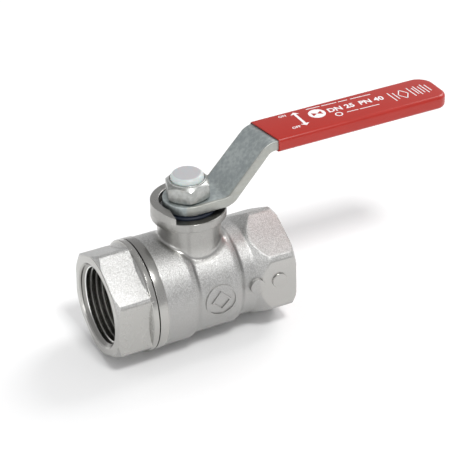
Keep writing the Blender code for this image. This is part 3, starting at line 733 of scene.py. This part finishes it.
ptfe = plasticSurface("white ptfe", (0.80, 0.80, 0.77), (0.90, 0.90, 0.88), 0.38)
rubber = plasticSurface("black rubber", (0.010, 0.010, 0.011), (0.022, 0.022, 0.024), 0.55)
dustPlastic = plasticSurface("blue-black plastic", (0.010, 0.014, 0.024), (0.022, 0.030, 0.050), 0.3)
deliver(makeBall(), "ball", "ball_chrome", chromeSurface(), "ball")
deliver(makeSeat("inletSeat", seatInLow, seatInHigh, -1), "housing", "ptfe", ptfe, "seat_ring_inlet")
deliver(makeSeat("outletSeat", seatOutLow, seatOutHigh, 1), "housing", "ptfe", ptfe, "seat_ring_outlet")
deliver(squareRing("jointRing", jointLow.x, jointHigh.x, hollows["spigot"] + hollows["gap"],
                   jointHigh.y, "X", 0.1, 160), "housing", "black_rubber", rubber, "joint_seal_ring")
deliver(squareRing("dustRing", dustLow.z, dustHigh.z, hollows["stem"], dustHigh.x, "Z", 0.25),
        "housing", "dust_black", dustPlastic, "stem_dust_ring")


# Lever

lever = {
    "endRadius": 9.9, "halfWidth": 8.9, "taperStart": 4.0, "crankStart": 13.6, "crankEnd": 30.76,
    "bend": 5.0, "angle": math.radians(47), "thickness": 4.0, "edge": 0.45,
    "nearCorner": 4.4, "farCorner": 6.4, "holeRadius": 5.15, "holeFlat": 4.1, "planDepth": 60,
}


def arcPoints(middle, radius, start, end, steps, z):
    angles = [start + (end - start) * step / steps for step in range(steps + 1)]
    return [(middle[0] + radius * math.cos(a), middle[1] + radius * math.sin(a), z) for a in angles]


def roundTip(tip, half, near, far, steps, z):
    # the far end of a strip, with a near and a far corner of their own radius
    points = arcPoints((tip - near, near - half), near, -math.pi / 2, 0, steps, z)
    return points + arcPoints((tip - far, half - far), far, 0, math.pi / 2, steps, z)


def makeLever():
    print("lever")
    v = lever
    half = v["thickness"] / 2
    lowZ, highZ = leverLow.z + half, leverHigh.z - half
    back = v["bend"] * math.tan(v["angle"] / 2)
    piece = trace("leverPlate", [(-20, -20, lowZ), (v["crankStart"], -20, lowZ, back),
                                 (v["crankEnd"], -20, highZ, back), (leverHigh.x + 5, -20, highZ)],
                  roundSteps=14)
    bpy.ops.mesh.extrude_region_move(TRANSFORM_OT_translate={"value": (0, 40 * mm, 0)})
    closeUp(piece)
    wall = piece.modifiers.new("plate", "SOLIDIFY")
    wall.thickness = v["thickness"] * mm
    wall.offset = 0
    wall.use_even_offset = True
    bpy.ops.object.modifier_apply(modifier=wall.name)
    closeUp(piece)
    taperEnd, w, under = v["crankEnd"] + v["bend"], v["halfWidth"], 20
    outline = arcPoints((0, 0), v["endRadius"], math.pi / 2, 3 * math.pi / 2, 48, under)
    outline += [(v["taperStart"], -v["endRadius"], under), (taperEnd, -w, under)]
    outline += roundTip(leverHigh.x, w, v["nearCorner"], v["farCorner"], 8, under)
    outline += [(taperEnd, w, under), (v["taperStart"], v["endRadius"], under)]
    join(piece, "INTERSECT", slab("plan", outline, v["planDepth"]))
    softenEdges(piece, v["edge"], 4, 50)
    hole = bar("hole", 64, v["holeRadius"], leverLow.z - 1, leverLow.z + v["thickness"] + 1)
    flats = block("flats", (-8, -v["holeFlat"], leverLow.z - 2), (8, v["holeFlat"], leverLow.z + 8))
    join(hole, "INTERSECT", flats)
    return smooth(join(piece, "DIFFERENCE", hole), 40)


def leverEdges(look):
    # the sheared sides of the strip are warmer than its rolled faces
    side = look.maths("ABSOLUTE", metresToMm(look.y))
    return look.rise(side, lever["halfWidth"] - 0.5, lever["halfWidth"] + 0.1)


zincLever = zincSurface("blue passivated zinc", (0.39, 0.43, 0.435), (0.54, 0.585, 0.575),
                        (0.44, 0.43, 0.385), 0.4, leverEdges)
deliver(makeLever(), "lever", "lever_steel", zincLever, "lever_plate")


# Sleeve

sleeve = {
    "nearCorner": 5.0, "farCorner": 7.0, "mouthSkew": 3.0, "edge": 1.5, "edgeSteps": 6,
    "wall": 0.6, "endWall": 1.3, "lip": 0.25, "printRoom": 0.06,
}


def makeSleeve():
    print("sleeve")
    s = sleeve
    tip, w = sleeveHigh.x, sleeveHigh.y
    near, far = s["nearCorner"], s["farCorner"]
    mouth, base = sleeveLow.x, sleeveLow.z
    outline = [(mouth + s["mouthSkew"] - 6, -w, base)]
    outline += roundTip(tip, w, near, far, 12, base)
    outline += [(mouth - 6, w, base)]
    depth = sleeveHigh.z - s["printRoom"] - base
    piece = slab("leverSleeve", outline, depth)
    softenEdges(piece, s["edge"], s["edgeSteps"], 60)
    trim = slab("trim", [(mouth - 12, -w - 1, base - 1), (mouth + s["mouthSkew"], -w - 1, base - 1),
                         (mouth, w + 1, base - 1), (mouth - 12, w + 1, base - 1)], depth + 2)
    join(piece, "DIFFERENCE", trim)
    softenEdges(piece, s["lip"], 3, 60)
    wall = s["wall"]
    inside, pocketBase = w - wall, base + wall
    pocket = [(mouth - 8, -inside, pocketBase)]
    pocket += roundTip(tip - s["endWall"], inside, near - wall, far - wall, 8, pocketBase)
    pocket += [(mouth - 8, inside, pocketBase)]
    room = slab("room", pocket, sleeveHigh.z - base - 2 * wall)
    return smooth(join(piece, "DIFFERENCE", room), 40)


deliver(makeSleeve(), "lever", "sleeve_red", vinylSurface(), "lever_sleeve")


# White print on the sleeve

ink = {"thick": 0.05, "turn": math.radians(-2.0)}
inkBase = sleeveHigh.z - sleeve["printRoom"] - 0.02


def inkSlab(points):
    return slab("ink", [(x, y, inkBase) for x, y in points], ink["thick"])


def inkBar(x, y, length, width, turn=0.0):
    piece = block("ink", (-length / 2, -width / 2, 0), (length / 2, width / 2, ink["thick"]))
    piece.rotation_euler.z = turn
    piece.location = Vector((x, y, inkBase)) * mm
    return settle(piece)


def inkWord(text, x, y, height, turn=0.0, bold=0.0):
    nothingSelected()
    bpy.ops.object.text_add()
    word = bpy.context.object
    word.data.body = text
    word.data.size = height * 1.4 * mm
    word.data.extrude = ink["thick"] / 2 * mm
    word.data.offset = bold * mm
    word.data.resolution_u = 3
    bpy.ops.object.convert(target="MESH")
    word = settle(bpy.context.object)
    word.rotation_euler.z = turn
    word.location = Vector((x, y, inkBase + ink["thick"] / 2)) * mm
    settle(word)
    return closeUp(word)


def makePrint():
    print("print")
    head, shaft, point, arrowX, top, bottom = 1.9, 0.55, 1.6, 49.8, 7.2, -4.3
    marks = [
        inkSlab([(arrowX - shaft, bottom + point), (arrowX - head, bottom + point), (arrowX, bottom),
                 (arrowX + head, bottom + point), (arrowX + shaft, bottom + point),
                 (arrowX + shaft, top - point), (arrowX + head, top - point), (arrowX, top),
                 (arrowX - head, top - point), (arrowX - shaft, top - point)]),
        inkWord("ON", 43.0, 5.9, 1.5, bold=0.04),
        inkWord("OFF", 43.6, -4.6, 1.5, bold=0.04),
    ]
    signX, signY, halfSign, rise = 57.7, 2.0, 2.1, 1.4
    disc = bar("ink", 48, 3.5, inkBase, inkBase + ink["thick"], place=(signX, signY))
    for side in (-halfSign, halfSign):
        cut = slab("cut", [(signX, signY, inkBase - 1), (signX + side, signY + rise, inkBase - 1),
                           (signX + side, signY - rise, inkBase - 1)], 3)
        join(disc, "DIFFERENCE", cut)
    marks.append(disc)
    marks.append(inkWord("DN 25", 62.3, 0.5, 3.0, ink["turn"], 0.12))
    marks.append(inkWord("PN 40", 76.2, 0.0, 3.0, ink["turn"], 0.12))
    marks += [inkBar(x, y, length, 0.42, ink["turn"]) for x, y, length in (
        (58.5, 6.9, 6.0), (65.5, 6.6, 6.6), (71.6, 6.35, 4.0), (79.5, 6.05, 9.0),
        (71.0, -2.75, 5.0), (78.5, -3.05, 8.6))]
    ring = bar("ink", 32, 1.6, inkBase, inkBase + ink["thick"], place=(65.0, -2.6))
    hole = bar("hole", 32, 1.1, inkBase - 1, inkBase + 1, place=(65.0, -2.6))
    marks.append(join(ring, "DIFFERENCE", hole))
    for x, gap in ((91.2, 0.9), (100.0, 0.9), (102.9, 0.8), (106.0, 0.8)):
        marks += [inkBar(x + side * gap, -0.4, 0.42, 6.6 - side, math.radians(3)) for side in (-1, 1)]
    diamond = [(95.4, 3.2), (97.6, -0.4), (95.4, -4.0), (93.2, -0.4)]
    for first, last in zip(diamond, diamond[1:] + diamond[:1]):
        dx, dy = last[0] - first[0], last[1] - first[1]
        marks.append(inkBar((first[0] + last[0]) / 2, (first[1] + last[1]) / 2, math.hypot(dx, dy) + 0.3,
                            0.4, math.atan2(dy, dx)))
    only(marks[0])
    for mark in marks:
        mark.select_set(True)
    bpy.ops.object.join()
    marks[0].name = marks[0].data.name = "sleevePrint"
    return marks[0]


deliver(makePrint(), "lever", "cap_white", inkSurface())


# Lock nut with its closed nylon insert

nut = {
    "flats": 16.0, "turn": math.radians(12), "cornerRadius": 9.15, "faceRadius": 7.8,
    "bottomChamfer": 0.7, "topChamfer": 1.3, "crownRadius": 7.3, "crown": 0.7, "edge": 0.14,
    "cornerEdge": 0.3, "holeRadius": 5.15, "capRoom": 6.8, "capSeat": 1.2,
}
cap = {"radius": 6.5, "faceRadius": 5.2, "shoulderDrop": 0.75, "sideDrop": 1.5, "stemRoom": 5.15}


def makeNut():
    print("nut")
    n = nut
    top = nutHigh.z - n["crown"]
    piece = lathe("lockNut", [
        (nutLow.z, 0), (nutLow.z, n["faceRadius"]),
        (nutLow.z + n["bottomChamfer"], n["cornerRadius"], 0.15),
        (top - n["topChamfer"], n["cornerRadius"], 0.2), (top, n["crownRadius"] + 0.15, 0.1),
        (top + 0.1, n["crownRadius"]), (nutHigh.z, n["crownRadius"], 0.3), (nutHigh.z, 0)],
        "Z", steps=160)
    hexagon = bar("hexagon", 6, n["flats"] / math.sqrt(3), nutLow.z - 1, nutHigh.z + 1,
                  turn=math.pi / 2 + n["turn"])
    softenEdges(hexagon, n["cornerEdge"], 3, 40)
    join(piece, "INTERSECT", hexagon)
    seat = nutHigh.z - n["capSeat"]
    hole = lathe("hole", [(nutLow.z - 1, 0), (nutLow.z - 1, n["holeRadius"]), (seat, n["holeRadius"]),
                          (seat, n["capRoom"]), (nutHigh.z + 1, n["capRoom"]), (nutHigh.z + 1, 0)],
                 "Z", steps=96)
    join(piece, "DIFFERENCE", hole)
    return smooth(softenEdges(piece, n["edge"], 2, 30), 30)


def makeCap():
    c = cap
    piece = lathe("nutCap", [
        (capHigh.z, 0), (capHigh.z, c["faceRadius"], 0.25),
        (capHigh.z - c["shoulderDrop"], c["radius"] - 0.35, 0.3),
        (capHigh.z - c["sideDrop"], c["radius"]), (capLow.z, c["radius"]), (capLow.z, c["stemRoom"]),
        (stemHigh.z + hollows["gap"], c["stemRoom"]), (stemHigh.z + hollows["gap"], 0)], "Z", steps=96)
    return smooth(piece)


zincNut = zincSurface("bright zinc", (0.36, 0.37, 0.355), (0.48, 0.49, 0.475), (0.46, 0.44, 0.40), 0.24)
deliver(makeNut(), "lever", "nut_steel", zincNut, "lock_nut")
deliver(makeCap(), "lever", "cap_white", nylonSurface(), "lock_nut_cap")


# CAD nodes that stay as they are

print("kept nodes")
kept = {"stem": brassSurface(), "stem_o_ring_lower": rubber, "stem_o_ring_upper": rubber,
        "stem_thrust_washer": ptfe}
for name, material in kept.items():
    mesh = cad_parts[name].data
    mesh.materials.clear()
    mesh.materials.append(material)


# Floor, light and camera

studio = {
    "floorTone": 0.94, "floorSize": 12, "worldTop": 0.50, "worldSide": 0.56, "topFrom": 0.8,
    "sideTo": 0.25,
}
lights = {
    "keyLight": {"place": (0.12, -1.82, 3.1), "size": 0.75, "power": 60.0},
    "backLight": {"place": (2.4, 0.85, 2.2), "size": 1.9, "power": 48.0},
    "sideLight": {"place": (-2.0, -0.9, 0.5), "size": 0.8, "power": 6.0},
}
view = {
    "place": (-0.27748, -0.60256, 0.42337), "ahead": (0.37774, 0.76595, -0.52022),
    "roll": math.radians(-1.516), "sensor": 36, "lens": 153.2,
}


def makeFloor():
    nothingSelected()
    bpy.ops.mesh.primitive_plane_add(size=studio["floorSize"], location=(0, 0, connectorLow.z * mm))
    floor = bpy.context.object
    floor.name = "floor"
    look = Surface("white sweep")
    paper = look.noise(3.0, 2.0)
    tone = studio["floorTone"]
    floor.data.materials.append(look.finish(
        look.blend(paper, (tone, tone, tone), (tone - 0.01, tone - 0.01, tone - 0.01)),
        0.85 + paper * 0.05, paper, 0.01, {"Specular IOR Level": 0.1}))


def makeLight(name, place, size, power):
    # a round lamp that faces the valve
    nothingSelected()
    bpy.ops.object.light_add(type="AREA", location=place)
    lamp = bpy.context.object
    lamp.name = name
    lamp.data.shape = "DISK"
    lamp.data.size = size
    lamp.data.energy = power
    lamp.rotation_euler = (-Vector(place)).to_track_quat("-Z", "Y").to_euler()


def makeWorld():
    world = bpy.data.worlds.new("studio")
    bpy.context.scene.world = world
    world.use_nodes = True
    tree = world.node_tree
    where = tree.nodes.new("ShaderNodeTexCoord")
    split = tree.nodes.new("ShaderNodeSeparateXYZ")
    ramp = tree.nodes.new("ShaderNodeValToRGB")
    tree.links.new(where.outputs["Generated"], split.inputs[0])
    tree.links.new(split.outputs["Z"], ramp.inputs[0])
    side, top = studio["worldSide"], studio["worldTop"]
    ramp.color_ramp.elements[0].color = (side, side, side * 1.02, 1)
    ramp.color_ramp.elements[0].position = studio["sideTo"]
    ramp.color_ramp.elements[1].color = (top, top, top, 1)
    ramp.color_ramp.elements[1].position = studio["topFrom"]
    tree.links.new(ramp.outputs[0], tree.nodes["Background"].inputs["Color"])


def makeCamera():
    bpy.ops.object.camera_add(location=view["place"])
    camera = bpy.context.object
    facing = Vector(view["ahead"]).to_track_quat("-Z", "Y")
    camera.rotation_mode = "QUATERNION"
    camera.rotation_quaternion = facing @ Quaternion((0, 0, 1), view["roll"])
    camera.data.sensor_width = view["sensor"]
    camera.data.lens = view["lens"]
    bpy.context.scene.camera = camera


print("studio")
makeFloor()
for name, light in lights.items():
    makeLight(name, **light)
makeWorld()
makeCamera()
bpy.context.scene.view_settings.view_transform = "Standard"

bpy.context.view_layer.update()
